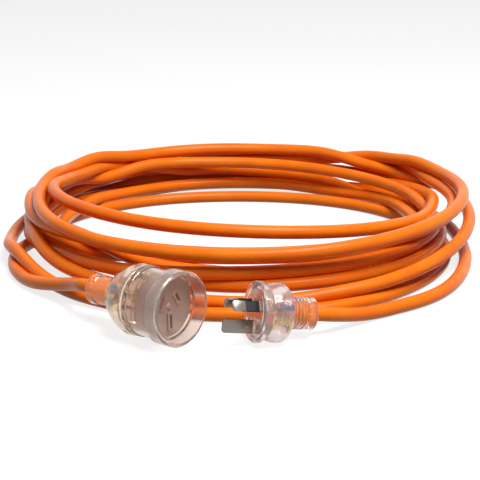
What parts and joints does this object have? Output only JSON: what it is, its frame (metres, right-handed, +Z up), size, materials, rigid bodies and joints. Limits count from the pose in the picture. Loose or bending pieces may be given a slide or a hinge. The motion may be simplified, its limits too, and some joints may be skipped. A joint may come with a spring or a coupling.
{
  "type": "extension cord",
  "caption": "Heavy-duty extension cord laid in a loose round coil, with a clear moulded flat-blade plug and a clear shrouded socket on its two ends.",
  "frame": {"origin": "under the middle of the whole cord's bounding box, on the surface that it lies on", "axes": "+X to the right, +Y away from the two connectors towards the back of the coil, +Z up"},
  "size_m": [0.356, 0.4208, 0.05],
  "materials": {
    "cord_sheath": "satin",
    "clear_moulding": "gloss",
    "clear_shroud": "gloss",
    "clear_insert": "gloss",
    "smoke_insert": "satin",
    "blade_plating": "satin",
    "pin_sleeve": "satin",
    "brown_core": "satin",
    "blue_core": "satin",
    "green_yellow_core": "satin",
    "copper_strand": "bright",
    "contact_brass": "bright"
  },
  "bodies": {
    "root": {"cord_coil": "cord_sheath", "plug_lead": "cord_sheath", "socket_lead": "cord_sheath", "plug_body": "clear_moulding", "plug_pin_bridge": "clear_insert", "plug_active_pin": "blade_plating", "plug_neutral_pin": "blade_plating", "plug_earth_pin": "blade_plating", "plug_active_sleeve": "pin_sleeve", "plug_neutral_sleeve": "pin_sleeve", "plug_active_core": "brown_core", "plug_neutral_core": "blue_core", "plug_earth_core": "green_yellow_core", "plug_core_strands": "copper_strand", "plug_sheath_end": "cord_sheath", "socket_bell": "clear_moulding", "socket_shroud": "clear_shroud", "socket_face": "smoke_insert", "socket_housing": "smoke_insert", "socket_active_contact": "contact_brass", "socket_neutral_contact": "contact_brass", "socket_earth_contact": "contact_brass", "socket_active_core": "brown_core", "socket_neutral_core": "blue_core", "socket_earth_core": "green_yellow_core", "socket_core_strands": "copper_strand", "socket_sheath_end": "cord_sheath"}
  },
  "joints": []
}
